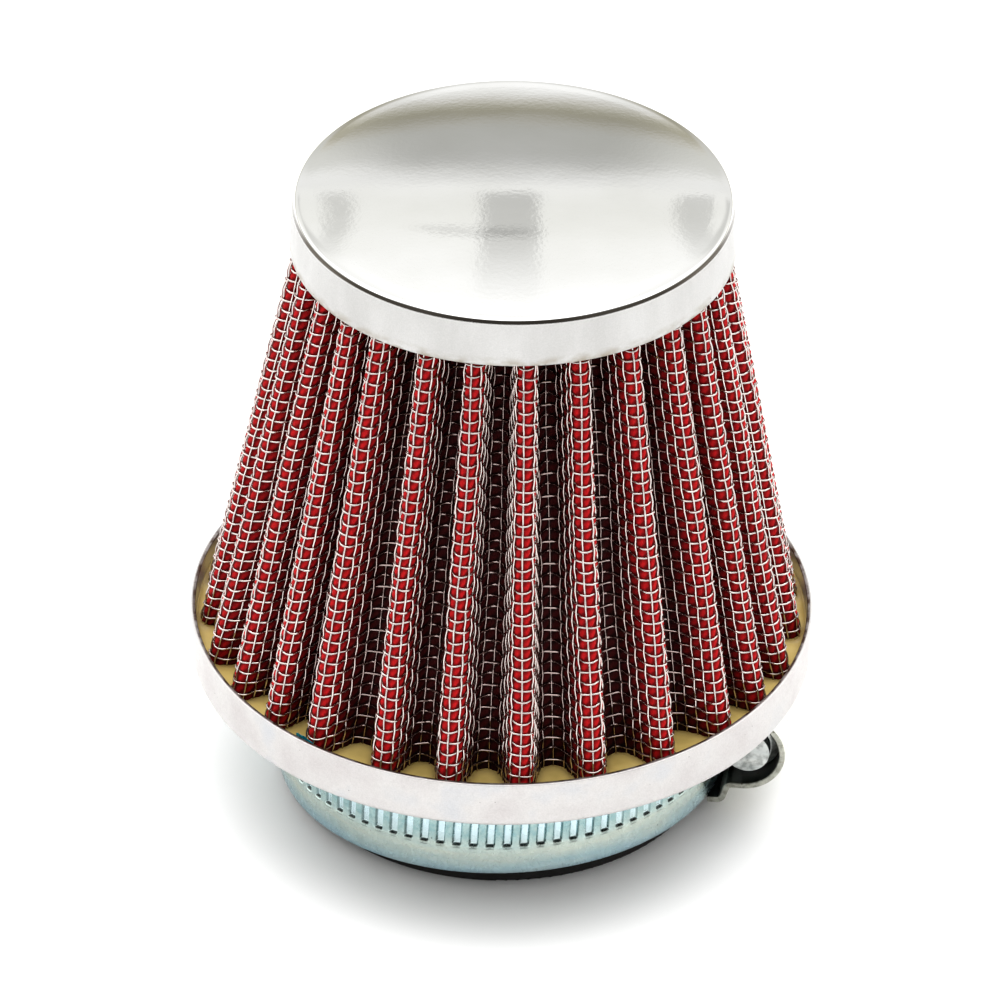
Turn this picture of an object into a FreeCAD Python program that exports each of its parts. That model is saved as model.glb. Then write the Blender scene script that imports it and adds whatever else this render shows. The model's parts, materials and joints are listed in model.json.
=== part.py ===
import FreeCAD, Part
import math
import os
from FreeCAD import Placement, Rotation, Vector

# A clamp-on cone air filter, in millimetres. The origin is the centre of the rubber neck's mouth,
# +Z runs up the filter's axis to the cap, and -Y is the front.

# Driving dimensions of the filter
PAN_RADIUS = 37.5
PAN_RIM_HEIGHT = 23.5
PAN_SKIRT = 6.15
SHEET = 0.6
PAN_CORNER = 0.8
CAP_RADIUS = 26.25
CAP_SHOULDER_RADIUS = 26.0
CAP_RIM_HEIGHT = 75.15
CAP_SKIRT = 6.15
CAP_CORNER = 0.8
CAP_DOME_RISE = 2.2
CAP_OFFSET = 0.9  # the cap is potted a little to the +X side of the neck's axis

NECK_BORE_RADIUS = 24.0
NECK_WALL = 1.5
NECK_LIP_ROUND = 0.4
NECK_FLANGE_RADIUS = 30.5
NECK_GROOVE_RADIUS = 28.0
NECK_FLANGE_THICKNESS = 0.75

# The pleated pack: a strip folded into pleats whose tips lie on a cone
PLEAT_COUNT = 27
FIRST_PLEAT_ANGLE = -164.8
FRONT_PLEAT_GAPS = [12.9, 12.2, 11.4, 15.1, 13.3, 14.0, 14.4, 15.1, 14.9, 11.8, 11.8]
POTTING_DEPTH_BELOW_RIM = 2.5
TIP_RADIUS_AT_POTTING = 36.5
TIP_RADIUS_AT_CAP = 25.6
PLEAT_DEPTH_AT_POTTING = 5.6
PLEAT_DEPTH_AT_CAP = 6.1
TIP_ROUND_AT_POTTING = 1.75
TIP_ROUND_AT_CAP = 1.4
ROOT_ROUND_AT_POTTING = 1.5
ROOT_ROUND_AT_CAP = 0.8
PACK_SUNK_IN_BASE = 1.1
PACK_SUNK_IN_CAP = 4.0
CAP_POTTING_ABOVE_RIM = 2.0
# Each layer of the strip from the outside in, with its thickness
PACK_LAYERS = [
    ("outer_mesh", 0.35),
    ("cotton_outer_ply", 0.15),
    ("cotton_inner_ply", 0.15),
    ("inner_mesh", 0.35),
]

# The worm-drive clamp hangs loose on the neck, so it is tilted. Its own frame has its origin at
# the middle of the band, with the band's axis along Z.
CLAMP_HEIGHT = 7.7
CLAMP_SIDE_SHIFT = 0.15
CLAMP_RISE_TO_RIGHT = 1.83
CLAMP_RISE_TO_FRONT = 2.5
BAND_WIDTH = 12.0
BAND_THICKNESS = 0.6
BAND_INNER_RADIUS = 26.15
BAND_SLIDING_GAP = 0.1
BAND_START_ANGLE = -20.0
BAND_END_ANGLE = 200.0
EAR_HALF_ANGLE = 8.0
STRAP_START_ANGLE = 152.0
STRAP_END_ANGLE = 380.0
SLOTS_PER_TURN = 85
SLOT_WIDTH = 0.95
SLOT_LENGTH = 4.1
SLOT_DEPTH = 0.42
SLOT_END_MARGIN = 6.0

# The housing: a bent sheet of constant section, straight along the screw
HOUSING_ANGLE = -7.5
HOUSING_LENGTH = 15.0
HOUSING_SHEET = 0.8
FOOT_START_RADIUS = 25.95
FOOT_LENGTH = 1.2
FOOT_BELOW_BAND = 1.1
FOOT_BEND_RADIUS = 0.75
FOOT_BEND_ANGLE = 70.0
ARCH_CENTRE_RADIUS = 30.3
ARCH_RADIUS = 4.85
END_WALL_START = 5.9
END_WALL_THICKNESS = 0.8
END_WALL_INNER_RADIUS = 28.3

# The worm screw
SCREW_AXIS_RADIUS = 30.9
THREAD_CREST_RADIUS = 3.75
THREAD_ROOT_RADIUS = 2.9
THREAD_CREST_WIDTH = 0.36
THREAD_ROOT_WIDTH = 1.4
THREAD_START = -5.3
THREAD_LENGTH = 10.2
CORE_START = -5.6
CORE_END = 5.75
TAIL_RADIUS = 2.7
TAIL_END = -7.3
JOURNAL_RADIUS = 2.25
JOURNAL_CLEARANCE = 0.05
COLLAR_RADIUS = 3.6
COLLAR_START = 6.8
HEAD_START = 7.7
HEAD_ACROSS_FLATS = 7.0
HEAD_LENGTH = 3.6
DRIVER_SLOT_WIDTH = 1.1
DRIVER_SLOT_DEPTH = 1.5

# Worked out from the above
NECK_OUTER_RADIUS = NECK_BORE_RADIUS + NECK_WALL
PAN_FLOOR = PAN_RIM_HEIGHT - PAN_SKIRT
POTTING_LEVEL = PAN_RIM_HEIGHT - POTTING_DEPTH_BELOW_RIM
PACK_BOTTOM = POTTING_LEVEL - PACK_SUNK_IN_BASE
PACK_TOP = CAP_RIM_HEIGHT + PACK_SUNK_IN_CAP
STRAP_INNER_RADIUS = BAND_INNER_RADIUS + BAND_THICKNESS + BAND_SLIDING_GAP
STRAP_OUTER_RADIUS = STRAP_INNER_RADIUS + BAND_THICKNESS
SLOT_ANGLE = 360.0 / SLOTS_PER_TURN
MESH_RADIUS = (STRAP_OUTER_RADIUS + SCREW_AXIS_RADIUS - THREAD_CREST_RADIUS) / 2
THREAD_PITCH = math.radians(SLOT_ANGLE) * MESH_RADIUS
THREAD_LEAD_ANGLE = math.degrees(math.atan(THREAD_PITCH / (2 * math.pi * THREAD_CREST_RADIUS)))

Z_AXIS = Vector(0, 0, 1)
ORIGIN = Vector(0, 0, 0)


def straight_edges(points):
    """Line edges from each (radius, height) point to the next."""
    corners = [Vector(radius, 0, height) for radius, height in points]
    return [Part.makeLine(a, b) for a, b in zip(corners, corners[1:])]


def rounding(centre_radius, centre_height, radius, start, end):
    """An arc edge in the XZ plane about a centre, from one angle in degrees to another."""
    angles = [math.radians(a) for a in (start, (start + end) / 2, end)]
    points = [
        Vector(centre_radius + radius * math.cos(a), 0, centre_height + radius * math.sin(a))
        for a in angles
    ]
    return Part.Arc(*points).toShape()


def revolved(edges):
    """The solid that a closed outline in the XZ plane sweeps about the Z axis."""
    return Part.Face(Part.Wire(edges)).revolve(ORIGIN, Z_AXIS, 360)


def tube(inner_radius, outer_radius, low, high):
    """A plain tube about the Z axis."""
    height = high - low
    outside = Part.makeCylinder(outer_radius, height, Vector(0, 0, low))
    return outside.cut(Part.makeCylinder(inner_radius, height, Vector(0, 0, low)))


def polar(radius, angle):
    """The point at a radius and an angle in radians, at height zero."""
    return Vector(radius * math.cos(angle), radius * math.sin(angle), 0)


# ---- The pleated pack ----


def pleat_angles():
    """Each pleat tip's angle in radians. The folds in front are uneven and the rest are even."""
    even_count = PLEAT_COUNT - len(FRONT_PLEAT_GAPS)
    even_gap = (360 - sum(FRONT_PLEAT_GAPS)) / even_count
    angles = [FIRST_PLEAT_ANGLE]
    for gap in FRONT_PLEAT_GAPS + [even_gap] * even_count:
        angles.append(angles[-1] + gap)
    return [math.radians(a) for a in angles]


def flank(tip_centre, root_centre, tip_round, root_round, side):
    """The ends of the straight flank between a tip circle and the root circle on one side of it."""
    across = root_centre - tip_centre
    lean = math.asin((tip_round + root_round) / across.Length)
    heading = math.atan2(across.y, across.x) + side * lean
    normal = polar(1, heading - side * math.pi / 2)
    return tip_centre + normal * tip_round, root_centre - normal * root_round


def pack_outline(height, inset):
    """The pleated outline at one height, moved into the strip by inset."""
    share = (height - POTTING_LEVEL) / (CAP_RIM_HEIGHT - POTTING_LEVEL)

    def between(at_potting, at_cap):
        return at_potting + share * (at_cap - at_potting)

    tip_radius = between(TIP_RADIUS_AT_POTTING, TIP_RADIUS_AT_CAP)
    depth = between(PLEAT_DEPTH_AT_POTTING, PLEAT_DEPTH_AT_CAP)
    tip_round = between(TIP_ROUND_AT_POTTING, TIP_ROUND_AT_CAP)
    root_round = between(ROOT_ROUND_AT_POTTING, ROOT_ROUND_AT_CAP)
    angles = pleat_angles()
    middles = [(a + b) / 2 for a, b in zip(angles, angles[1:])]
    tips = [polar(tip_radius - tip_round, a) for a in angles[:-1]]
    roots = [polar(tip_radius - depth + root_round, a) for a in middles]
    tip_round -= inset
    root_round += inset
    edges = []
    for i in range(PLEAT_COUNT):
        after = (i + 1) % PLEAT_COUNT
        tip_start, _ = flank(tips[i], roots[i - 1], tip_round, root_round, -1)
        tip_end, root_start = flank(tips[i], roots[i], tip_round, root_round, 1)
        next_tip, root_end = flank(tips[after], roots[i], tip_round, root_round, -1)
        crown = tips[i] + polar(tip_round, angles[i])
        valley = roots[i] - polar(root_round, middles[i])
        edges.append(Part.Arc(tip_start, crown, tip_end).toShape())
        edges.append(Part.makeLine(tip_end, root_start))
        edges.append(Part.Arc(root_start, valley, root_end).toShape())
        edges.append(Part.makeLine(root_end, next_tip))
    outline = Part.Wire(edges)
    outline.translate(Vector(share * CAP_OFFSET, 0, height))
    return outline


def pack_core(inset):
    """Everything inside the pleated surface that lies inset from the outside of the strip."""
    return Part.makeLoft(
        [pack_outline(PACK_BOTTOM, inset), pack_outline(PACK_TOP, inset)], True, True
    )


def pack_layers():
    """The strip's layers, each between two pleated surfaces, and the whole strip as one solid."""
    layers = {}
    inset = 0.0
    outside = whole = pack_core(inset)
    for name, thickness in PACK_LAYERS:
        inset += thickness
        inside = pack_core(inset)
        layers[name] = outside.cut(inside)
        outside = inside
    return layers, whole.cut(outside)


# ---- Cap, pan, neck and potting ----


def cap_dome(inset):
    """The solid under the cap's outer surface, or under a surface inset from it."""
    rim_radius = CAP_RADIUS - inset
    shoulder_radius = CAP_SHOULDER_RADIUS - inset
    shoulder_height = CAP_RIM_HEIGHT + CAP_SKIRT - inset
    corner = CAP_CORNER
    dome_edge = Vector(shoulder_radius - corner, 0, shoulder_height)
    dome_top = Vector(0, 0, shoulder_height + CAP_DOME_RISE)
    dome_radius = (dome_edge.x**2 + CAP_DOME_RISE**2) / (2 * CAP_DOME_RISE)
    middle_x = dome_edge.x / 2
    sagitta = dome_radius - math.sqrt(dome_radius**2 - middle_x**2)
    dome_middle = Vector(middle_x, 0, dome_top.z - sagitta)
    corner_foot = (shoulder_radius, shoulder_height - corner)
    edges = straight_edges(
        [(0, dome_top.z), (0, CAP_RIM_HEIGHT), (rim_radius, CAP_RIM_HEIGHT), corner_foot]
    )
    edges.append(rounding(dome_edge.x, corner_foot[1], corner, 0, 90))
    edges.append(Part.Arc(dome_edge, dome_middle, dome_top).toShape())
    dome = revolved(edges)
    dome.translate(Vector(CAP_OFFSET, 0, 0))
    return dome


def make_top_cap():
    return cap_dome(0).cut(cap_dome(SHEET))


def make_top_potting(pack):
    """Resin that fills the cap down to a level just above its rim, around the pleat ends."""
    level = CAP_RIM_HEIGHT + CAP_POTTING_ABOVE_RIM
    below = Part.makeCylinder(2 * CAP_RADIUS, level)
    return cap_dome(SHEET).cut(below).cut(pack)


def make_base_pan():
    """A shallow pressed dish with an upturned skirt and a hole for the neck."""
    inside = PAN_RADIUS - SHEET
    floor_top = PAN_FLOOR + SHEET
    inner_corner = PAN_CORNER - SHEET
    corner_x = PAN_RADIUS - PAN_CORNER
    corner_z = PAN_FLOOR + PAN_CORNER
    edges = straight_edges([(NECK_GROOVE_RADIUS, PAN_FLOOR), (corner_x, PAN_FLOOR)])
    edges.append(rounding(corner_x, corner_z, PAN_CORNER, -90, 0))
    edges += straight_edges(
        [(PAN_RADIUS, corner_z), (PAN_RADIUS, PAN_RIM_HEIGHT), (inside, PAN_RIM_HEIGHT), (inside, corner_z)]
    )
    edges.append(rounding(corner_x, corner_z, inner_corner, 0, -90))
    edges += straight_edges(
        [(corner_x, floor_top), (NECK_GROOVE_RADIUS, floor_top), (NECK_GROOVE_RADIUS, PAN_FLOOR)]
    )
    return revolved(edges)


def make_rubber_neck():
    """A tube with a groove at its top that grips the hole in the pan between two flanges."""
    lower_flange = PAN_FLOOR - NECK_FLANGE_THICKNESS
    floor_top = PAN_FLOOR + SHEET
    top = floor_top + NECK_FLANGE_THICKNESS
    lip_x = NECK_OUTER_RADIUS - NECK_LIP_ROUND
    edges = straight_edges([(NECK_BORE_RADIUS, 0), (lip_x, 0)])
    edges.append(rounding(lip_x, NECK_LIP_ROUND, NECK_LIP_ROUND, -90, 0))
    edges += straight_edges(
        [
            (NECK_OUTER_RADIUS, NECK_LIP_ROUND),
            (NECK_OUTER_RADIUS, lower_flange),
            (NECK_FLANGE_RADIUS, lower_flange),
            (NECK_FLANGE_RADIUS, PAN_FLOOR),
            (NECK_GROOVE_RADIUS, PAN_FLOOR),
            (NECK_GROOVE_RADIUS, floor_top),
            (NECK_FLANGE_RADIUS, floor_top),
            (NECK_FLANGE_RADIUS, top),
            (NECK_BORE_RADIUS, top),
            (NECK_BORE_RADIUS, 0),
        ]
    )
    return revolved(edges)


def make_base_potting(pan, neck, pack):
    """Resin that fills the pan around the feet of the pleats and over the neck's flange."""
    pool = tube(NECK_BORE_RADIUS + SHEET, PAN_RADIUS - SHEET / 2, PAN_FLOOR + SHEET, POTTING_LEVEL)
    return pool.cut(pan).cut(neck).cut(pack)


# ---- The clamp, in its own frame ----


def band_arc(inner_radius, low, high, start, end):
    """A strip of band sheet bent about the clamp's axis, from one angle to another."""
    corners = [
        (inner_radius, low),
        (inner_radius + BAND_THICKNESS, low),
        (inner_radius + BAND_THICKNESS, high),
        (inner_radius, high),
        (inner_radius, low),
    ]
    section = Part.Face(Part.Wire(straight_edges(corners)))
    arc = section.revolve(ORIGIN, Z_AXIS, end - start)
    arc.rotate(ORIGIN, Z_AXIS, start)
    return arc


def make_clamp_band():
    """The plain end of the band, with ears that reach the housing's two feet."""
    edge = BAND_WIDTH / 2
    band = band_arc(BAND_INNER_RADIUS, -edge, edge, BAND_START_ANGLE, BAND_END_ANGLE)
    foot = edge + FOOT_BELOW_BAND - HOUSING_SHEET / 2
    ear_start = HOUSING_ANGLE - EAR_HALF_ANGLE
    ear_end = HOUSING_ANGLE + EAR_HALF_ANGLE
    for low, high in ((-foot, -edge), (edge, foot)):
        band = band.fuse(band_arc(BAND_INNER_RADIUS, low, high, ear_start, ear_end))
    return band


def make_clamp_strap():
    """The slotted end of the band. Its slots are pressed in as pockets, at the worm's slant."""
    edge = BAND_WIDTH / 2
    strap = band_arc(STRAP_INNER_RADIUS, -edge, edge, STRAP_START_ANGLE, STRAP_END_ANGLE)
    pocket = Part.makeBox(
        2 * SLOT_DEPTH,
        SLOT_WIDTH,
        SLOT_LENGTH,
        Vector(STRAP_OUTER_RADIUS - SLOT_DEPTH, -SLOT_WIDTH / 2, -SLOT_LENGTH / 2),
    )
    pocket.rotate(ORIGIN, Vector(1, 0, 0), -THREAD_LEAD_ANGLE)
    housing_at = HOUSING_ANGLE + 360
    first = math.ceil((STRAP_START_ANGLE + SLOT_END_MARGIN - housing_at) / SLOT_ANGLE)
    last = math.floor((STRAP_END_ANGLE - SLOT_END_MARGIN - housing_at) / SLOT_ANGLE)
    pockets = []
    for step in range(first, last + 1):
        slot = pocket.copy()
        slot.rotate(ORIGIN, Z_AXIS, housing_at + step * SLOT_ANGLE)
        pockets.append(slot)
    return strap.cut(Part.makeCompound(pockets))


def bent_path(start, moves):
    """Edges in the XZ plane from a start point, heading along +X: each move is (length, 0) for a
    straight run, or (radius, turn in degrees) for a tangent arc."""
    edges = []
    place = start
    heading = 0.0
    for size, turn in moves:
        forward = Vector(math.cos(heading), 0, math.sin(heading))
        if turn == 0:
            end = place + forward * size
            edges.append(Part.makeLine(place, end))
        else:
            left = math.copysign(1, turn)
            centre = place + Vector(-forward.z, 0, forward.x) * left * size
            spoke = place - centre
            half, full = (Rotation(Vector(0, -1, 0), a).multVec(spoke) for a in (turn / 2, turn))
            end = centre + full
            edges.append(Part.Arc(place, centre + half, end).toShape())
            heading += math.radians(turn)
        place = end
    return edges, place


def housing_side(inset):
    """One face of the housing's bent sheet, from its lower foot over the arch to its upper foot."""
    bend = FOOT_BEND_ANGLE
    inner_bend = (FOOT_BEND_RADIUS - inset, bend)
    outer_bend = (FOOT_BEND_RADIUS + inset, -bend)
    foot_height = -BAND_WIDTH / 2 - FOOT_BELOW_BAND
    rise = -ARCH_RADIUS - foot_height - 2 * FOOT_BEND_RADIUS * (1 - math.cos(math.radians(bend)))
    ramp = rise / math.sin(math.radians(bend))
    bends_run = 2 * FOOT_BEND_RADIUS * math.sin(math.radians(bend))
    ramp_end = FOOT_START_RADIUS + FOOT_LENGTH + bends_run + ramp * math.cos(math.radians(bend))
    flat = ARCH_CENTRE_RADIUS - ramp_end
    up = [(FOOT_LENGTH, 0), inner_bend, (ramp, 0), outer_bend, (flat, 0)]
    moves = up + [(ARCH_RADIUS - inset, 180)] + up[::-1]
    return bent_path(Vector(FOOT_START_RADIUS, 0, foot_height + inset), moves)


def make_clamp_housing():
    """The arched housing over the worm, with an end wall that carries the screw's journal."""
    inner, inner_end = housing_side(HOUSING_SHEET / 2)
    outer, outer_end = housing_side(-HOUSING_SHEET / 2)
    lower_tip = Part.makeLine(outer[0].firstVertex().Point, inner[0].firstVertex().Point)
    upper_tip = Part.makeLine(inner_end, outer_end)
    outline = Part.Wire([lower_tip] + inner + [upper_tip] + outer[::-1])
    section = Part.Face(outline)
    section.translate(Vector(0, -HOUSING_LENGTH / 2, 0))
    housing = section.extrude(Vector(0, HOUSING_LENGTH, 0))
    wall_radius = ARCH_RADIUS - HOUSING_SHEET / 2
    wall_edges = [rounding(ARCH_CENTRE_RADIUS, 0, wall_radius, -90, 90)]
    wall_edges += straight_edges(
        [
            (ARCH_CENTRE_RADIUS, wall_radius),
            (END_WALL_INNER_RADIUS, wall_radius),
            (END_WALL_INNER_RADIUS, -wall_radius),
            (ARCH_CENTRE_RADIUS, -wall_radius),
        ]
    )
    wall = Part.Face(Part.Wire(wall_edges)).extrude(Vector(0, END_WALL_THICKNESS, 0))
    wall.translate(Vector(0, END_WALL_START, 0))
    hole = Part.makeCylinder(
        JOURNAL_RADIUS + JOURNAL_CLEARANCE,
        HOUSING_LENGTH,
        Vector(SCREW_AXIS_RADIUS, 0, 0),
        Vector(0, 1, 0),
    )
    housing = housing.fuse(wall.cut(hole)).removeSplitter()
    housing.rotate(ORIGIN, Z_AXIS, HOUSING_ANGLE)
    return housing


def screw_thread():
    """A right-hand worm thread about Z whose crest faces -X at height zero."""
    overlap = 0.1
    radius = THREAD_ROOT_RADIUS - overlap
    helix = Part.makeHelix(THREAD_PITCH, THREAD_LENGTH, radius)
    root = THREAD_ROOT_WIDTH / 2
    crest = THREAD_CREST_WIDTH / 2
    corners = [
        Vector(radius, 0, -root),
        Vector(THREAD_CREST_RADIUS, 0, -crest),
        Vector(THREAD_CREST_RADIUS, 0, crest),
        Vector(radius, 0, root),
        Vector(radius, 0, -root),
    ]
    thread = Part.Wire(helix).makePipeShell([Part.makePolygon(corners)], True, True)
    thread.translate(Vector(0, 0, THREAD_START))
    turned_by_start = 360 * -THREAD_START / THREAD_PITCH
    thread.rotate(ORIGIN, Z_AXIS, 180 - turned_by_start)
    return thread


def make_clamp_screw():
    """The worm: tail, threaded core, journal, collar and a slotted hexagon head."""

    def disc(radius, start, end):
        return Part.makeCylinder(radius, end - start, Vector(0, 0, start))

    screw = disc(THREAD_ROOT_RADIUS, CORE_START, CORE_END).fuse(screw_thread())
    screw = screw.fuse(disc(TAIL_RADIUS, TAIL_END, CORE_START))
    screw = screw.fuse(disc(JOURNAL_RADIUS, CORE_END, COLLAR_START))
    screw = screw.fuse(disc(COLLAR_RADIUS, COLLAR_START, HEAD_START))
    corner_radius = HEAD_ACROSS_FLATS / math.sqrt(3)
    corners = [polar(corner_radius, math.radians(60 * i)) for i in range(7)]
    head = Part.Face(Part.makePolygon(corners)).extrude(Vector(0, 0, HEAD_LENGTH))
    head.translate(Vector(0, 0, HEAD_START))
    slot = Part.makeBox(
        DRIVER_SLOT_WIDTH,
        4 * corner_radius,
        2 * DRIVER_SLOT_DEPTH,
        Vector(-DRIVER_SLOT_WIDTH / 2, -2 * corner_radius, HEAD_START + HEAD_LENGTH - DRIVER_SLOT_DEPTH),
    )
    screw = screw.fuse(head.cut(slot))
    screw.rotate(ORIGIN, Vector(1, 0, 0), -90)
    screw.translate(Vector(SCREW_AXIS_RADIUS, 0, 0))
    screw.rotate(ORIGIN, Z_AXIS, HOUSING_ANGLE)
    return screw


def clamp_placement():
    """Where the clamp's frame stands on the neck, tilted up towards the right and the front."""
    axis = Vector(
        -math.tan(math.radians(CLAMP_RISE_TO_RIGHT)), math.tan(math.radians(CLAMP_RISE_TO_FRONT)), 1
    )
    return Placement(Vector(CLAMP_SIDE_SHIFT, 0, CLAMP_HEIGHT), Rotation(Z_AXIS, axis))


def print_joints(placement):
    """The joints' places and directions, which the record repeats."""
    turned = placement.Rotation.multiply(Rotation(Z_AXIS, HOUSING_ANGLE))
    screw_at = placement.Base + turned.multVec(Vector(SCREW_AXIS_RADIUS, 0, 0))
    print("band_feed at", placement.Base, "axis", placement.Rotation.multVec(Z_AXIS))
    print("screw_turn at", screw_at, "axis", turned.multVec(Vector(0, 1, 0)))


def main():
    os.makedirs("parts", exist_ok=True)
    nodes, pack = pack_layers()
    nodes["top_cap"] = make_top_cap()
    nodes["top_potting"] = make_top_potting(pack)
    nodes["base_pan"] = make_base_pan()
    nodes["rubber_neck"] = make_rubber_neck()
    nodes["base_potting"] = make_base_potting(nodes["base_pan"], nodes["rubber_neck"], pack)
    placement = clamp_placement()
    for name, make in (
        ("clamp_band", make_clamp_band),
        ("clamp_housing", make_clamp_housing),
        ("clamp_strap", make_clamp_strap),
        ("clamp_screw", make_clamp_screw),
    ):
        nodes[name] = make()
        nodes[name].Placement = placement.multiply(nodes[name].Placement)
    print_joints(placement)
    for name, shape in nodes.items():
        print(name, "valid", shape.isValid(), "solids", len(shape.Solids), "volume", round(shape.Volume, 1))
        shape.exportStep(f"parts/{name}.step")


main()
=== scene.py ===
"""The looks of a clamp-on cone air filter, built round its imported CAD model.

Lengths here are in millimetres, and MM turns them into the scene's metres. +Z runs up the filter's
axis and -Y is the front.
"""

import json
import math
import random

import bmesh
import bpy
import numpy as np
from mathutils import Matrix, Vector


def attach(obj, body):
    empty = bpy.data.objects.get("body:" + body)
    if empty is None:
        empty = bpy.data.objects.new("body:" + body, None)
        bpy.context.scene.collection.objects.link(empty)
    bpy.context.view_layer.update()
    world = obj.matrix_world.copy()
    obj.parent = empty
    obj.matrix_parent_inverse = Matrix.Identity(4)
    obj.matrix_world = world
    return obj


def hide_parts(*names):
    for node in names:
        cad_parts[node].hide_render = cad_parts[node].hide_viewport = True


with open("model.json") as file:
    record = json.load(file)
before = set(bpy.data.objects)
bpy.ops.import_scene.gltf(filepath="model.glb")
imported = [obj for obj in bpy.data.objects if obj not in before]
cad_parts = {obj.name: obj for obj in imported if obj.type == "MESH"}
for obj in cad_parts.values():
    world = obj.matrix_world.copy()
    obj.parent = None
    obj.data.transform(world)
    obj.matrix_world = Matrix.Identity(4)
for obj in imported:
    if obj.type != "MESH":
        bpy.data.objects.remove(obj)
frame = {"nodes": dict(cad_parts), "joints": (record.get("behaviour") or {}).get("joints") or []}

MM = 0.001
random.seed(27)

# The filter's own dimensions, the same as the CAD model's
PAN_RADIUS = 37.5
PAN_RIM_HEIGHT = 23.5
PAN_FLOOR = 17.35
PAN_CORNER = 0.8
SHEET = 0.6  # the thickness of the cap's and the pan's metal
NECK_GROOVE_RADIUS = 28.0
NECK_FLANGE_RADIUS = 30.5
CAP_RADIUS = 26.25
CAP_SHOULDER_RADIUS = 26.0
CAP_RIM_HEIGHT = 75.15
CAP_SHOULDER_HEIGHT = 81.3
CAP_CORNER = 0.8
CAP_DOME_RISE = 2.2
CAP_OFFSET = 0.9
POTTING_LEVEL = 21.0
PACK_BOTTOM = 20.4
PACK_TOP = 77.9

# The pleats: the first one's angle, then the uneven gaps across the front. The rest are even.
PLEAT_COUNT = 27
FIRST_PLEAT_ANGLE = -164.8
FRONT_PLEAT_GAPS = [12.9, 12.2, 11.4, 15.1, 13.3, 14.0, 14.4, 15.1, 14.9, 11.8, 11.8]
# Each of these is given at the potting and at the cap's rim
TIP_RADIUS = (36.5, 25.6)
PLEAT_DEPTH = (5.6, 6.1)
TIP_ROUND = (1.75, 1.4)
ROOT_ROUND = (1.5, 0.8)

# The woven wire cloth
WIRE_DIAMETER = 0.23
WARP_CRIMP = 0.09  # the two crimps together are one wire diameter
WEFT_CRIMP = WIRE_DIAMETER - WARP_CRIMP
WIRES_ROUND = 298
ROW_PITCH = 1.41
# How far single wires and rows are out of place, as shares of their pitch
WIRE_SCATTER = 0.05
ROW_SCATTER = 0.03

# Depths below the pack's outside: the middles of the two cloths, and the faces of the outer cotton
# ply, which puffs out between the wires
CLOTH_MIDDLE = 0.27
INNER_CLOTH_MIDDLE = 0.85
COTTON_AT_WIRES = 0.47
COTTON_PUFF = 0.28
COTTON_INNER_FACE = 0.5

# The resin in the pan: how far its middle sinks, how high it creeps up the pleats and the wall, and
# its underside
RESIN_SINK = 0.25
RESIN_CREEP = 0.22
RESIN_WALL_CREEP = 0.4
RESIN_BOTTOM = PAN_FLOOR + SHEET + 0.5

# A scrap of masking film between a pleat and the pan: its first and last angle, and the height that
# it tapers to
FILM_RADIUS = 36.3
FILM_THICKNESS = 0.06
FILM_ANGLES = (-131.4, -125.4)
FILM_LOW_EDGE = 22.4

# The clamp's strap, in the clamp's own frame
BAND_WIDTH = 12.0
STRAP_INNER_RADIUS = 26.85
STRAP_OUTER_RADIUS = 27.45
STRAP_START_ANGLE = 152.0
STRAP_END_ANGLE = 380.0
HOUSING_ANGLE = 352.5
SLOTS_PER_TURN = 85
SLOT_WIDTH = 0.95
SLOT_LENGTH = 4.1
SLOT_DEPTH = 0.42
SLOT_SLANT = 5.0
SLOT_END_MARGIN = 6.0
SLOT_WALL = 0.24  # how wide the slope at each side of a slot is
SLOT_END_WALL = 0.26
STRAP_EDGE_ROUND = 0.14
COLUMNS_PER_SLOT = 18

# The camera: a long lens, about a metre away and looking down
CAMERA_PLACE = (0.0, -811.1, 608.4)
CAMERA_AIM = (-0.31, 0.0, 38.0)
CAMERA_ROLL = 0.64
CAMERA_LENS = 298.3
CAMERA_SENSOR = 36.0
CAMERA_REACH = 20.0  # in metres

LATHE_SEGMENTS = 288
RESIN_COLUMNS = 720


# ---- Meshes ----


def mesh_object(name, points, faces, smooth=True):
    """A new object from points in millimetres."""
    mesh = bpy.data.meshes.new(name)
    mesh.from_pydata((np.asarray(points) * MM).tolist(), [], faces)
    mesh.update()
    if smooth:
        mesh.shade_smooth()
    made = bpy.data.objects.new(name, mesh)
    bpy.context.scene.collection.objects.link(made)
    return made


def grid_faces(rows, columns, wrap_rows=False, wrap_columns=False, start=0):
    """Quads over a grid of points numbered row by row."""
    row = np.arange(rows if wrap_rows else rows - 1)[:, None]
    column = np.arange(columns if wrap_columns else columns - 1)[None, :]
    next_row = (row + 1) % rows
    next_column = (column + 1) % columns
    corners = [
        row * columns + column,
        row * columns + next_column,
        next_row * columns + next_column,
        next_row * columns + column,
    ]
    quads = np.stack([c + np.zeros_like(row * column) for c in corners], axis=-1)
    return (quads.reshape(-1, 4) + start).tolist()


def lathe(name, profile, centre_x=0.0):
    """(radius, height) points turned about the Z axis: a closed ring of them, or a line that
    starts and ends on the axis."""
    on_axis = profile[0][0] == 0
    profile = np.asarray(profile)
    turns = np.linspace(0, 2 * np.pi, LATHE_SEGMENTS, endpoint=False)
    radius = profile[:, 0][:, None]
    points = np.stack(
        [
            radius * np.cos(turns) + centre_x,
            radius * np.sin(turns),
            profile[:, 1][:, None] + 0 * turns,
        ],
        axis=-1,
    )
    faces = grid_faces(len(profile), LATHE_SEGMENTS, wrap_rows=not on_axis, wrap_columns=True)
    made = mesh_object(name, points.reshape(-1, 3), faces)
    if on_axis:
        mesh = bmesh.new()
        mesh.from_mesh(made.data)
        bmesh.ops.remove_doubles(mesh, verts=mesh.verts, dist=0.001 * MM)
        mesh.to_mesh(made.data)
        mesh.free()
    return made


def corner_arc(x, z, radius, start, end, steps=6):
    """Points along a rounded corner, from one angle in degrees to another."""
    angles = np.radians(np.linspace(start, end, steps))
    return [(x + radius * math.cos(a), z + radius * math.sin(a)) for a in angles]


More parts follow.
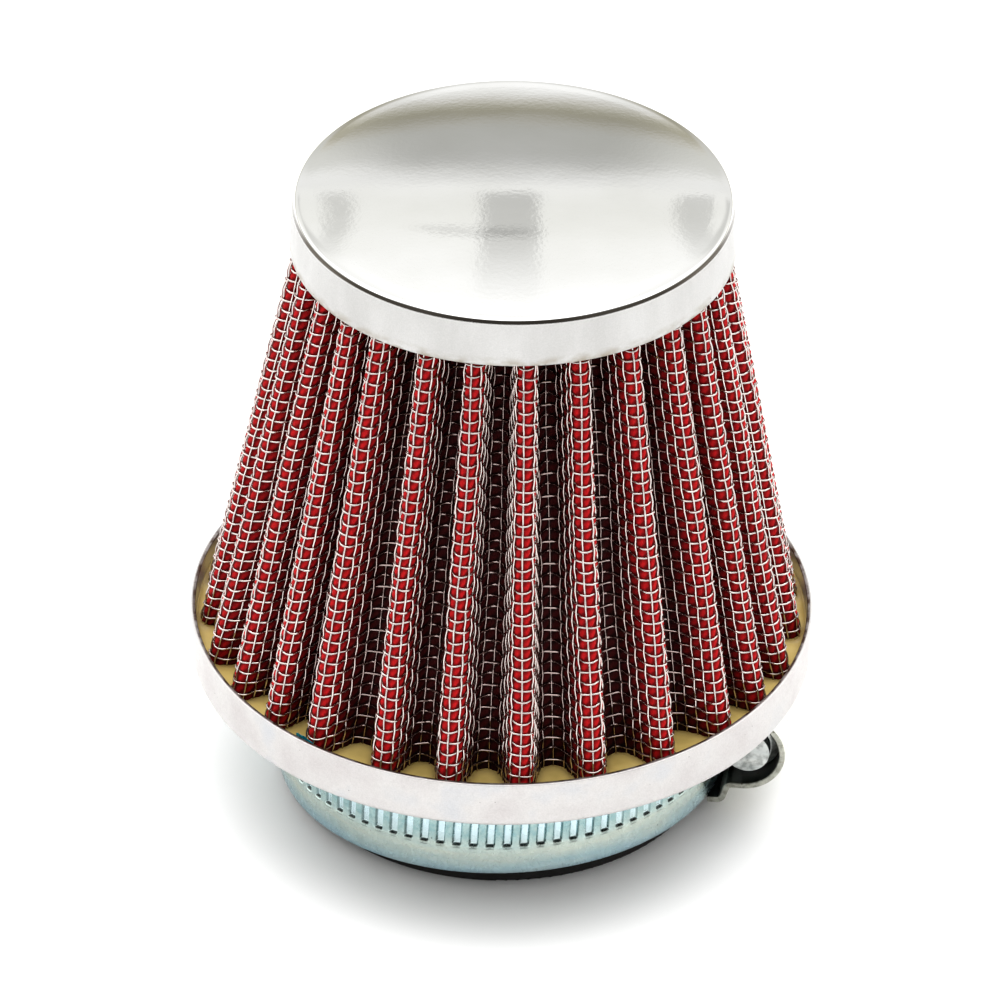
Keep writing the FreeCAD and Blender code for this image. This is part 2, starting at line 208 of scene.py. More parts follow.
# ---- The pleated pack ----


def polar(radius, angle):
    return np.stack([radius * np.cos(angle), radius * np.sin(angle)], axis=-1)


def pleat_angles():
    """Each pleat tip's angle, ending with the first one again a full turn on."""
    even_count = PLEAT_COUNT - len(FRONT_PLEAT_GAPS)
    even_gap = (360 - sum(FRONT_PLEAT_GAPS)) / even_count
    gaps = FRONT_PLEAT_GAPS + [even_gap] * even_count
    return np.radians(FIRST_PLEAT_ANGLE + np.concatenate([[0], np.cumsum(gaps)]))


class Outline:
    """The pleated outline at one height. Each pleat has five parts that run into each other: half
    its tip's arc, a flank, its root's arc, a flank and half the next tip's arc."""

    def __init__(self, height, inset):
        self.share = (height - POTTING_LEVEL) / (CAP_RIM_HEIGHT - POTTING_LEVEL)
        ends = (TIP_RADIUS, PLEAT_DEPTH, TIP_ROUND, ROOT_ROUND)
        values = (low + self.share * (high - low) for low, high in ends)
        self.tip_radius, self.depth, tip_round, root_round = values
        angles = pleat_angles()
        self.here, self.after = angles[:-1], angles[1:]
        middle = (self.here + self.after) / 2
        self.tips = polar(self.tip_radius - tip_round, self.here)
        self.next_tips = polar(self.tip_radius - tip_round, self.after)
        self.roots = polar(self.tip_radius - self.depth + root_round, middle)
        self.tip_round, self.root_round = tip_round - inset, root_round + inset
        self.leaving, self.arriving, flank = self.tangents()
        parts = [
            self.tip_round * (self.leaving - self.here),
            flank,
            self.root_round * (self.leaving - self.arriving),
            flank,
            self.tip_round * (self.after - self.arriving),
        ]
        self.lengths = np.stack(parts, axis=-1).ravel()
        self.ends = np.cumsum(self.lengths)

    def tangents(self):
        """The outward headings of each pleat's two flanks, and how long the flanks are."""
        down, up = self.roots - self.tips, self.roots - self.next_tips
        span = np.hypot(down[:, 0], down[:, 1])
        lean = np.arcsin((self.tip_round + self.root_round) / span)
        flank = np.sqrt(span**2 - (self.tip_round + self.root_round) ** 2)
        leaving = np.arctan2(down[:, 1], down[:, 0]) + lean - np.pi / 2
        arriving = np.arctan2(up[:, 1], up[:, 0]) - lean + np.pi / 2
        leaving = self.here + (leaving - self.here) % (2 * np.pi)
        arriving = self.after - (self.after - arriving) % (2 * np.pi)
        return leaving, arriving, flank

    def points(self, places):
        """Points on the outline, each place being a share of the way round. Returns the points, the
        outward directions and how deep in its fold each one is, from 0 to 1."""
        along = (places % 1.0) * self.ends[-1]
        part = np.minimum(np.searchsorted(self.ends, along, side="right"), len(self.ends) - 1)
        pleat, kind = part // 5, part % 5
        run = along - (self.ends - self.lengths)[part]
        kinds = [kind == k for k in (0, 1, 2, 3)]
        headings = [
            self.here[pleat] + run / self.tip_round,
            self.leaving[pleat],
            self.leaving[pleat] - run / self.root_round,
            self.arriving[pleat],
        ]
        outward = polar(1, np.select(kinds, headings, self.arriving[pleat] + run / self.tip_round))
        forward = np.stack([-outward[:, 1], outward[:, 0]], axis=-1)
        spots = [
            self.tips[pleat] + outward * self.tip_round,
            self.tips[pleat] + outward * self.tip_round + forward * run[:, None],
            self.roots[pleat] - outward * self.root_round,
            self.roots[pleat] - outward * self.root_round + forward * run[:, None],
        ]
        last = self.next_tips[pleat] + outward * self.tip_round
        points = np.select([k[:, None] for k in kinds], spots, last)
        fold = (self.tip_radius - np.hypot(points[:, 0], points[:, 1])) / self.depth
        points[:, 0] += self.share * CAP_OFFSET
        return points, outward, fold


class Cloth:
    """Where the wires of one cloth run. A place on it is (wire, row), both counted from 0 and not
    always whole: whole numbers are wires, and halves are midway between them."""

    def __init__(self, inset):
        self.inset = inset
        slope = math.hypot(CAP_RIM_HEIGHT - POTTING_LEVEL, TIP_RADIUS[0] - TIP_RADIUS[1])
        self.row_rise = ROW_PITCH * (CAP_RIM_HEIGHT - POTTING_LEVEL) / slope
        self.rows = int((PACK_TOP - PACK_BOTTOM) / self.row_rise)
        self.wire_shift = [random.gauss(0, WIRE_SCATTER) for _ in range(WIRES_ROUND)]
        self.row_shift = [random.gauss(0, ROW_SCATTER) for _ in range(self.rows + 1)]
        self.phases = [random.uniform(0, 2 * math.pi) for _ in range(4)]

    def warped(self, wires, row):
        """The wires' shares of the way round and heights along one row, with the small
        unevenness of real cloth."""
        turn = 2 * np.pi * wires / WIRES_ROUND
        a, b, c, d = self.phases
        ids = np.arange(WIRES_ROUND + 1)
        shift = np.interp(wires % WIRES_ROUND, ids, self.wire_shift + self.wire_shift[:1])
        shift = shift + 0.12 * np.sin(9 * turn + row / 7 + a) + 0.08 * np.sin(31 * turn - row / 4 + b)
        rise = np.interp(row, np.arange(self.rows + 1), self.row_shift)
        rise = rise + 0.1 * np.sin(13 * turn + row / 9 + c) + 0.07 * np.sin(40 * turn + row / 5 + d)
        return (wires + shift) / WIRES_ROUND, PACK_BOTTOM + (row + rise) * self.row_rise

    def points(self, wires, row, offset):
        """Points along one row, offset outwards, with their outward directions and fold depths."""
        places, heights = self.warped(wires, row)
        level = PACK_BOTTOM + row * self.row_rise
        low, outward, fold = Outline(level - 1, self.inset).points(places)
        high, _, _ = Outline(level + 1, self.inset).points(places)
        share = ((heights - level + 1) / 2)[:, None]
        flat = low + share * (high - low) + outward * np.reshape(offset, (-1, 1))
        return np.column_stack([flat, heights]), np.column_stack([outward, 0 * heights]), fold


def tubes(name, lines, outwards, folds, sides, closed):
    """Round wires along lines of points. Every line has the same number of points."""
    lines, outwards = np.asarray(lines), np.asarray(outwards)
    count, steps = lines.shape[:2]
    if closed:
        ahead, behind = np.roll(lines, -1, axis=1), np.roll(lines, 1, axis=1)
    else:
        ahead = np.concatenate([lines[:, 1:], lines[:, -1:]], axis=1)
        behind = np.concatenate([lines[:, :1], lines[:, :-1]], axis=1)
    along = ahead - behind
    along /= np.linalg.norm(along, axis=-1, keepdims=True)
    side = np.cross(along, outwards)
    side /= np.linalg.norm(side, axis=-1, keepdims=True)
    out = np.cross(side, along)
    turns = np.linspace(0, 2 * np.pi, sides, endpoint=False)
    ring = out[:, :, None] * np.cos(turns)[:, None] + side[:, :, None] * np.sin(turns)[:, None]
    points = lines[:, :, None] + ring * WIRE_DIAMETER / 2
    faces = []
    per_line = steps * sides
    for i in range(count):
        start = i * per_line
        faces += grid_faces(steps, sides, closed, True, start)
        if not closed:
            faces.append(list(range(start, start + sides)))
            faces.append(list(range(start + per_line - 1, start + per_line - 1 - sides, -1)))
    made = mesh_object(name, points.reshape(-1, 3), faces)
    paint(made, "fold", np.repeat(np.ravel(folds), sides))
    return made


def paint(piece, name, values):
    """Stores a number at each point, for the materials to read."""
    layer = piece.data.attributes.new(name, "FLOAT", "POINT")
    layer.data.foreach_set("value", np.ravel(values).astype(np.float32))


def weave(name, cloth, node, per_crossing, sides):
    """The cloth's wires, crimped over and under each other: two pieces up the filter's front and
    back, and two round its lower and upper halves."""
    steps = np.arange(cloth.rows * per_crossing + 1) / per_crossing
    wires = np.arange(WIRES_ROUND)
    rows = [cloth.points(wires, s, WARP_CRIMP * np.cos(np.pi * (s + wires))) for s in steps]
    up_lines, up_outward, up_fold = (np.stack([r[k] for r in rows], axis=1) for k in range(3))
    half = WIRES_ROUND // 2
    pieces = []
    for label, part in (("front", slice(0, half)), ("back", slice(half, None))):
        pieces.append(
            tubes(f"{name}_warp_{label}", up_lines[part], up_outward[part], up_fold[part], sides, False)
        )
    round_steps = np.arange(WIRES_ROUND * per_crossing) / per_crossing
    loops = [
        cloth.points(round_steps, j, -WEFT_CRIMP * np.cos(np.pi * (j + round_steps)))
        for j in range(cloth.rows + 1)
    ]
    half = len(loops) // 2
    for label, part in (("low", loops[:half]), ("high", loops[half:])):
        lines, outward, fold = ([loop[k] for loop in part] for k in range(3))
        pieces.append(tubes(f"{name}_weft_{label}", lines, outward, fold, sides, True))
    for piece in pieces:
        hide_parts(node)
    return pieces


def cotton_skin(cloth):
    """The outer ply: a thin closed sheet pressed in by the wires and puffed out between them."""
    columns = np.arange(2 * WIRES_ROUND) / 2
    rows = np.arange(2 * cloth.rows + 1) / 2
    puff_across = 0.5 - 0.5 * np.cos(2 * np.pi * columns)
    outside, inside, folds, puffs = [], [], [], []
    for row in rows:
        puff = puff_across * (0.5 - 0.5 * np.cos(2 * np.pi * row))
        rise = cloth.inset - COTTON_AT_WIRES + COTTON_PUFF * puff
        points, _, fold = cloth.points(columns, row, rise)
        outside.append(points)
        folds.append(fold)
        puffs.append(puff)
        inside.append(cloth.points(columns, row, cloth.inset - COTTON_INNER_FACE + 0 * columns)[0])
    points = np.concatenate([np.concatenate(outside), np.concatenate(inside[::-1])])
    faces = grid_faces(2 * len(rows), len(columns), wrap_rows=True, wrap_columns=True)
    made = mesh_object("cotton_gauze", points, faces)
    paint(made, "fold", folds + folds[::-1])
    paint(made, "puff", puffs + puffs[::-1])
    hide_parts("cotton_outer_ply")
    return made


# ---- Cap, pan and potting ----


def make_cap():
    """The pressed cap: a low dome, a tight shoulder and a skirt with a rounded cut edge."""
    edge = 0.12
    rim, shoulder, top = CAP_RIM_HEIGHT, CAP_SHOULDER_HEIGHT, CAP_SHOULDER_HEIGHT + CAP_DOME_RISE
    dome_edge = CAP_SHOULDER_RADIUS - CAP_CORNER
    dome_radius = (dome_edge**2 + CAP_DOME_RISE**2) / (2 * CAP_DOME_RISE)

    def dome_height(radius, inset):
        return top - inset - dome_radius + math.sqrt(dome_radius**2 - radius**2)

    dome = [(r, dome_height(r, 0)) for r in np.linspace(0, dome_edge - 0.05, 40)]
    under = [(r, dome_height(r, SHEET)) for r in np.linspace(dome_edge - SHEET, 0, 12)]
    start = 90 - math.degrees(math.asin(dome_edge / dome_radius))
    profile = dome
    profile += corner_arc(dome_edge, shoulder - CAP_CORNER, CAP_CORNER, start, 0, 12)
    profile += corner_arc(CAP_RADIUS - edge, rim + edge, edge, 0, -90, 4)
    profile += corner_arc(CAP_RADIUS - SHEET + edge, rim + edge, edge, -90, -180, 4)
    profile += [(CAP_SHOULDER_RADIUS - SHEET, shoulder - CAP_CORNER)]
    profile += under
    made = lathe("cap_shell", profile, CAP_OFFSET)
    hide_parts("top_cap")
    return made


def make_pan():
    """The pressed pan: a floor with a hole for the neck, and an upturned skirt."""
    edge = 0.14
    inside = PAN_RADIUS - SHEET
    corner_x, corner_z = PAN_RADIUS - PAN_CORNER, PAN_FLOOR + PAN_CORNER
    profile = [(NECK_GROOVE_RADIUS, PAN_FLOOR), (NECK_FLANGE_RADIUS + 1, PAN_FLOOR)]
    profile += corner_arc(corner_x, corner_z, PAN_CORNER, -90, 0, 10)
    profile += corner_arc(PAN_RADIUS - edge, PAN_RIM_HEIGHT - edge, edge, 0, 90, 5)
    profile += corner_arc(inside + edge, PAN_RIM_HEIGHT - edge, edge, 90, 180, 5)
    profile += corner_arc(corner_x, corner_z, PAN_CORNER - SHEET, 0, -90, 6)
    profile += [(NECK_GROOVE_RADIUS, PAN_FLOOR + SHEET)]
    made = lathe("pan_shell", profile)
    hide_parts("base_pan")
    return made


def make_base_resin():
    """The resin in the pan. It creeps a little way up the pleats and the pan's wall."""
    inner, outer = NECK_FLANGE_RADIUS - 3, PAN_RADIUS - SHEET - 0.02
    radii = np.linspace(inner, outer, 40)
    turns = np.linspace(0, 2 * np.pi, RESIN_COLUMNS, endpoint=False)
    radius, turn = np.meshgrid(radii, turns, indexing="ij")
    flat = np.stack([radius * np.cos(turn), radius * np.sin(turn)], axis=-1).reshape(-1, 2)
    wall, _, _ = Outline(POTTING_LEVEL, 0).points(np.linspace(0, 1, 1600, endpoint=False))
    chunks = np.array_split(flat, 60)
    nearest = np.concatenate([np.sqrt(((c[:, None] - wall) ** 2).sum(-1)).min(1) for c in chunks])
    from_wall = outer - radius.ravel()
    creep = RESIN_CREEP * np.exp(-nearest / 0.35) + RESIN_WALL_CREEP * np.exp(-from_wall / 0.3)
    sag = 0.12 * np.sin(5 * turn + 1).ravel() + 0.06 * np.sin(17 * turn + radius).ravel()
    top = np.column_stack([flat, POTTING_LEVEL - RESIN_SINK + creep + sag])
    bottom = top[-RESIN_COLUMNS:] * [1, 1, 0] + [0, 0, RESIN_BOTTOM]
    inner_bottom = top[:RESIN_COLUMNS] * [1, 1, 0] + [0, 0, RESIN_BOTTOM]
    points = np.concatenate([top, bottom, inner_bottom])
    faces = grid_faces(len(radii) + 2, RESIN_COLUMNS, wrap_rows=True, wrap_columns=True)
    made = mesh_object("base_resin", points, faces)
    # Painted shade: how dark the resin is next to the pleats and the pan's wall; the underside is fully
    # shaded
    painted_shade = np.exp(-nearest / 0.4) + 0.7 * np.exp(-from_wall / 0.5)
    paint(made, "painted_shade", np.concatenate([painted_shade, np.ones(2 * len(turns))]))
    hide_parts("base_potting")
    return made


def make_film_scrap():
    """The scrap of masking film: a strip on edge, highest near its left end, with a torn top."""
    along = np.linspace(0, 1, 24)
    start, end = FILM_ANGLES
    turn = np.radians(start + (end - start) * along)
    top = FILM_LOW_EDGE + np.sin(np.pi * np.sqrt(0.1 + 0.9 * along)) + 0.05 * np.sin(23 * along)
    inner = FILM_RADIUS + 0.05 * np.sin(9 * along)
    outer = inner + FILM_THICKNESS
    foot = np.full(len(along), POTTING_LEVEL)
    edges = [(inner, foot), (inner, top), (outer, top), (outer, foot)]
    rows = [np.column_stack([polar(1, turn) * r[:, None], z]) for r, z in edges]
    faces = grid_faces(4, len(along), wrap_rows=True)
    faces.append([r * len(along) for r in range(4)])
    faces.append([(r + 1) * len(along) - 1 for r in reversed(range(4))])
    return mesh_object("film_scrap", np.concatenate(rows), faces, smooth=False)


# ---- The clamp ----


def joint_named(name):
    return next(j for j in frame["joints"] if j["name"] == name)


def clamp_matrix():
    """From the clamp's own frame, with the band's axis along Z, to the filter's frame."""
    joint = joint_named("band_feed")
    turn = Vector((0, 0, 1)).rotation_difference(Vector(joint["axis"])).to_matrix().to_4x4()
    return Matrix.Translation(Vector(joint["pos_m"]) / MM) @ turn


def smooth_step(distance, width):
    """From 0 to 1 as a signed distance goes through half a width either side of zero."""
    share = np.clip(distance / width + 0.5, 0, 1)
    return share * share * (3 - 2 * share)


def strap_columns():
    """The strap's columns: their angles, how far each is from its slot's middle, and whether the
    strap is slotted there."""
    slot_angle = 360 / SLOTS_PER_TURN
    first = math.ceil((STRAP_START_ANGLE + SLOT_END_MARGIN - HOUSING_ANGLE) / slot_angle)
    last = math.floor((STRAP_END_ANGLE - SLOT_END_MARGIN - HOUSING_ANGLE) / slot_angle)
    count = round((STRAP_END_ANGLE - STRAP_START_ANGLE) / slot_angle * COLUMNS_PER_SLOT)
    angles = np.linspace(STRAP_START_ANGLE, STRAP_END_ANGLE, count)
    steps = np.round((angles - HOUSING_ANGLE) / slot_angle)
    across = np.radians(angles - HOUSING_ANGLE - steps * slot_angle) * STRAP_OUTER_RADIUS
    slotted = (steps >= first) & (steps <= last)
    return angles, across, slotted


def strap_heights():
    """The heights of the strap's rows, close together where the slots end."""
    half, band, edge = SLOT_LENGTH / 2, BAND_WIDTH / 2, STRAP_EDGE_ROUND
    dense = np.linspace(-0.4, 0.56, 13)
    return np.concatenate(
        [
            [-band, -band + edge * 0.3, -band + edge],
            np.linspace(-band + 0.6, -half - 0.8, 6),
            -half - dense[::-1],
            np.linspace(-half + 0.8, half - 0.8, 7),
            half + dense,
            np.linspace(half + 0.8, band - 0.6, 6),
            [band - edge, band - edge * 0.3, band],
        ]
    )


def strap_radius(heights, ends, sides):
    """The outer face: pockets for the slots, a low lip at their ends, and rounded edges."""
    half, band, edge = SLOT_LENGTH / 2, BAND_WIDTH / 2, STRAP_EDGE_ROUND
    lip = np.exp(-(((np.abs(heights) - half - 0.22) / 0.1) ** 2)) * 0.09
    rounding = np.clip(edge - (band - np.abs(heights)), 0, edge)
    drop = edge - np.sqrt(np.maximum(edge**2 - rounding**2, 0))
    pockets = STRAP_OUTER_RADIUS - SLOT_DEPTH * ends[:, None] * sides
    return pockets + lip[:, None] * sides - drop[:, None] * 0.8 - 0.05


def strap_turns(angles, heights):
    """Each column's turn at each row: the slots slant with the worm's thread."""
    slant = np.tan(math.radians(SLOT_SLANT))
    shear = np.degrees(slant * np.clip(heights, -3, 3) / STRAP_OUTER_RADIUS)
    turn = np.radians(angles + shear[:, None])
    return np.clip(turn, math.radians(STRAP_START_ANGLE), math.radians(STRAP_END_ANGLE))


def make_strap():
    """The slotted end of the band: pressed pockets with soft edges, at the worm's slant."""
    angles, across, slotted = strap_columns()
    heights = strap_heights()
    count, band = len(angles), BAND_WIDTH / 2
    sides = smooth_step(SLOT_WIDTH / 2 - np.abs(across), SLOT_WALL) * slotted
    ends = smooth_step(SLOT_LENGTH / 2 - np.abs(heights), SLOT_END_WALL)
    radius = strap_radius(heights, ends, sides)
    turn = strap_turns(angles, heights)
    level = heights[:, None] + 0 * turn
    outside = np.stack([radius * np.cos(turn), radius * np.sin(turn), level], axis=-1)
    flat = outside * [1, 1, 0]
    flat = flat / np.linalg.norm(flat, axis=-1, keepdims=True) * STRAP_INNER_RADIUS
    inside = flat[[-1, 0]]
    inside[0, :, 2], inside[1, :, 2] = band, -band
    rows = len(heights) + 2
    points = np.concatenate([outside.reshape(-1, 3), inside.reshape(-1, 3)])
    faces = grid_faces(rows, count, wrap_rows=True)
    faces.append([r * count for r in range(rows)])
    faces.append([r * count + count - 1 for r in reversed(range(rows))])
    matrix = clamp_matrix()
    made = mesh_object("strap_slotted", np.asarray([matrix @ Vector(p) for p in points]), faces)
    paint_strap(made, heights, ends, sides, slotted)
    made.data.set_sharp_from_angle(angle=math.radians(50))
    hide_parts("clamp_strap")
    return made


def paint_strap(made, heights, ends, sides, slotted):
    """Marks the slots' floors, flanks and end walls, the ribs between them, and the height, for the
    material's painted light and shade.
    """
    beyond = np.abs(heights) - SLOT_LENGTH / 2
    line = 0.5 * np.exp(-(((beyond - 0.42) / 0.1) ** 2))
    # The floors take painted light; the ribs, flanks and end walls take painted shade, with a thin
    # painted shadow line beyond each slot's end
    masks = {
        "pocket": ends[:, None] * sides,
        "rib": np.clip((0.3 - beyond) / 1.8, 0, 1)[:, None] * (1 - sides) * slotted,
        "end_wall_shade": (6 * ends * (1 - ends) + line)[:, None] * sides,
        "flank": 4 * sides * (1 - sides) * ends[:, None],
        "level": np.repeat(heights / (BAND_WIDTH / 2), len(sides)),
    }
    blank = np.zeros(2 * len(sides))
    for label, values in masks.items():
        paint(made, label, np.concatenate([values.ravel(), blank]))


def soften_edges(piece, width):
    """Rounds the sharp edges of a CAD piece."""
    weld = piece.modifiers.new("weld", "WELD")
    weld.merge_threshold = 0.001 * MM
    bevel = piece.modifiers.new("round", "BEVEL")
    bevel.width = width * MM
    bevel.segments = 2
    bevel.limit_method = "ANGLE"
    bevel.angle_limit = math.radians(40)
    bevel.use_clamp_overlap = True


# ---- Materials ----


class Nodes:
    """Short names for the shader nodes of one tree."""

    range_kind = "LINEAR"

    def __init__(self, tree):
        self.tree = tree

    def add(self, kind, inputs, **settings):
        """A new shader node. An input is either a plain value or another node's output."""
        made = self.tree.nodes.new("ShaderNode" + kind)
        for name, value in settings.items():
            setattr(made, name, value)
        for name, value in inputs.items():
            if isinstance(value, bpy.types.NodeSocket):
                self.tree.links.new(value, made.inputs[name])
            else:
                made.inputs[name].default_value = value
        return made

    def math(self, operation, *values):
        return self.add("Math", dict(enumerate(values)), operation=operation).outputs["Value"]

    def product(self, *values):
        result = values[0]
        for value in values[1:]:
            result = self.math("MULTIPLY", result, value)
        return result

    def between(self, value, low, high, out_low=0.0, out_high=1.0):
        """Maps a value's range to another range, held at its ends."""
        inputs = {"Value": value, 1: low, 2: high, 3: out_low, 4: out_high}
        made = self.add("MapRange", inputs, interpolation_type=self.range_kind, clamp=True)
        return made.outputs["Result"]

    def ramp(self, value, stops):
        """Colours along a value: each stop is (position, colour)."""
        made = self.add("ValToRGB", {"Fac": value})
        elements = made.color_ramp.elements
        while len(elements) < len(stops):
            elements.new(1.0)
        for element, (position, colour) in zip(elements, stops):
            element.position = position
            element.color = (*colour, 1)
        return made.outputs["Color"]

    def mixed(self, share, a, b, blend="MIX"):
        """From one colour to another. Either can be plain numbers."""
        inputs = {"Factor": share, 6: a, 7: b}
        inputs = {k: (*v, 1) if isinstance(v, tuple) else v for k, v in inputs.items()}
        return self.add("Mix", inputs, data_type="RGBA", blend_type=blend).outputs[2]

    def darkened(self, colour, share):
        """A colour times a grey value."""
        return self.mixed(1.0, colour, share, "MULTIPLY")


class Surface(Nodes):
    """A material with one principled shader, and the nodes that feed it."""

    def __init__(self, name, **values):
        self.material = bpy.data.materials.new(name)
        self.material.use_nodes = True
        super().__init__(self.material.node_tree)
        self.shader = self.tree.nodes["Principled BSDF"]
        for key, value in values.items():
            self.shader.inputs[key.replace("_", " ")].default_value = value
        self.place = self.add("TexCoord", {}).outputs["Object"]

    def noise(self, size, detail=2.0, stretch=None):
        """Noise whose features are about size millimetres across, from 0 to 1."""
        place = self.place
        if stretch:
            place = self.add("Mapping", {"Vector": place, "Scale": stretch}).outputs["Vector"]
        inputs = {"Vector": place, "Scale": 1 / (size * MM), "Detail": detail}
        return self.add("TexNoise", inputs).outputs["Fac"]

    def specks(self, size):
        """Distance to the nearest of many scattered points about size millimetres apart."""
        inputs = {"Vector": self.place, "Scale": 1 / (size * MM)}
        return self.add("TexVoronoi", inputs).outputs["Distance"]

    def attribute(self, name):
        return self.add("Attribute", {}, attribute_name=name).outputs["Fac"]

    def height(self):
        return self.add("SeparateXYZ", {"Vector": self.place}).outputs["Z"]

    def depth(self):
        """Distance behind the filter's axis, less than 0 in front of it."""
        return self.add("SeparateXYZ", {"Vector": self.place}).outputs["Y"]

    def radius(self):
        """Distance from the filter's axis."""
        flat = self.add("VectorMath", {0: self.place, 1: (1, 1, 0)}, operation="MULTIPLY")
        return self.add("VectorMath", {0: flat.outputs["Vector"]}, operation="LENGTH").outputs["Value"]

    def bump(self, height, depth, under=None):
        """Bump whose full height is depth millimetres."""
        inputs = {"Height": height, "Distance": depth * MM, "Strength": 1.0}
        if under:
            inputs["Normal"] = under
        return self.add("Bump", inputs).outputs["Normal"]

    def feed(self, socket, value):
        self.tree.links.new(value, self.shader.inputs[socket])


def fine_grain(s):
    """The satin metals' fine grain, with a few small pits in it, as a share of full brightness."""
    grain = s.between(s.noise(0.16, 3), 0.3, 0.7, 0.93, 1.05)
    patches = s.between(s.noise(4, 1), 0.5, 0.55)
    pits = s.product(s.between(s.specks(1.3), 0.04, 0.08, 1, 0), patches)
    return s.product(grain, s.between(pits, 0, 1, 1.0, 0.45))


def chrome_and_satin():
    """The cap: polished on the dome, with a dark line painted round the front of its shoulder as a
    reflection of the dark room, and satin on the skirt."""
    s = Surface("chrome_and_satin", Metallic=1.0)
    shoulder = (CAP_SHOULDER_HEIGHT - CAP_CORNER) * MM
    polished = s.between(s.height(), shoulder + 0.08 * MM, shoulder + 0.3 * MM)
    line_low, line_high = shoulder + 0.17 * MM, shoulder + 0.64 * MM
    tone = s.ramp(s.noise(9, 3), [(0.3, (0.9, 0.9, 0.88)), (0.7, (0.96, 0.96, 0.95))])
    streaks = s.noise(5, 4, (1, 1, 0.3))
    satin = s.ramp(streaks, [(0.3, (0.46, 0.455, 0.445)), (0.7, (0.55, 0.547, 0.538))])
    smudge = s.between(s.height(), (CAP_RIM_HEIGHT + 0.2) * MM, (CAP_RIM_HEIGHT + 1.3) * MM, 0.75, 0)
    smudge = s.product(smudge, s.between(s.noise(2.2, 4, (1, 1, 2)), 0.4, 0.64))
    satin = s.mixed(smudge, s.darkened(satin, fine_grain(s)), (0.27, 0.23, 0.17))
    # Painted reflection: a dark line round the front of the shoulder's corner, fading out towards the
    # back
    painted_reflection_line = s.product(
        s.between(s.height(), line_low - 0.14 * MM, line_low + 0.1 * MM),
        s.between(s.height(), line_high - 0.08 * MM, line_high + 0.08 * MM, 0.97, 0),
        s.between(s.depth(), -10 * MM, 8 * MM, 1, 0.12),
    )
    tone = s.mixed(painted_reflection_line, tone, (0.05, 0.04, 0.028))
    s.feed("Base Color", s.mixed(s.math("MAXIMUM", polished, painted_reflection_line), satin, tone))
    rough = s.between(s.noise(1.2, 3), 0.3, 0.7, 0.025, 0.055)
    s.feed("Roughness", s.add("Mix", {"Factor": polished, 2: 0.5, 3: rough}).outputs[0])
    dome = s.between(s.height(), CAP_SHOULDER_HEIGHT * MM, (CAP_SHOULDER_HEIGHT + 0.3) * MM)
    peel = s.bump(s.product(s.noise(0.55, 3), dome), 0.0045)
    s.feed("Normal", s.bump(s.product(s.noise(7, 1), dome), 0.02, under=peel))
    return s.material


def satin_aluminium():
    """The pan: fine-grained satin metal, with a dark brown band painted along the inner top edge of its
    rim as shade and a reflection of the red pleats.
    """
    s = Surface("satin_aluminium", Metallic=1.0)
    rim = PAN_RIM_HEIGHT * MM
    tones = [(0.3, (0.52, 0.495, 0.49)), (0.55, (0.575, 0.56, 0.55)), (0.75, (0.51, 0.52, 0.54))]
    tone = s.ramp(s.noise(6, 4), tones)
    inside = (PAN_RADIUS - SHEET) * MM
    # Painted shade and reflection: a dark brown band along the rim's inner top edge
    painted_rim_shade = s.product(
        s.between(s.height(), rim - 0.2 * MM, rim - 0.1 * MM),
        s.between(s.radius(), inside + 0.3 * MM, inside + 0.44 * MM, 1, 0),
        s.between(s.noise(1.5, 3), 0.35, 0.6, 0.6, 1.0),
    )
    s.feed("Base Color", s.mixed(painted_rim_shade, s.darkened(tone, fine_grain(s)), (0.06, 0.032, 0.022)))
    s.feed("Roughness", s.between(s.noise(0.4, 2), 0.3, 0.7, 0.42, 0.56))
    s.feed("Normal", s.bump(s.noise(0.25, 2), 0.004))
    return s.material


def feet_shade(s, noise):
    """1 at the foot of the pleats, below the pan's rim, where painted shade darkens them, and 0 above.
    """
    level = s.math("ADD", s.height(), s.between(noise, 0.3, 0.7, -0.4 * MM, 0.4 * MM))
    return s.between(level, (POTTING_LEVEL + 0.2) * MM, (POTTING_LEVEL + 1.7) * MM, 1, 0)


def bright_wire():
    """Drawn steel wire, brightest on the flanks, with painted shade darkening it deep in the folds and
    browning it at the pleats' feet.
    """
    s = Surface("bright_wire", Metallic=1.0)
    fold = s.attribute("fold")
    depth = s.math("ADD", fold, s.between(s.noise(2.5, 2), 0.3, 0.7, -0.08, 0.08))
    # Painted shade: the deeper the wire lies in its fold, the darker it is
    tone = s.ramp(
        depth,
        [
            (0.0, (0.48, 0.42, 0.4)),
            (0.3, (0.74, 0.66, 0.62)),
            (0.6, (0.68, 0.58, 0.55)),
            (0.9, (0.4, 0.31, 0.29)),
        ],
    )
    # Painted shade: brown at the pleats' feet
    s.feed("Base Color", s.mixed(feet_shade(s, s.noise(1.5, 2)), tone, (0.33, 0.26, 0.21)))
    s.feed("Roughness", s.between(s.noise(0.6, 2), 0.3, 0.7, 0.05, 0.12))
    return s.material


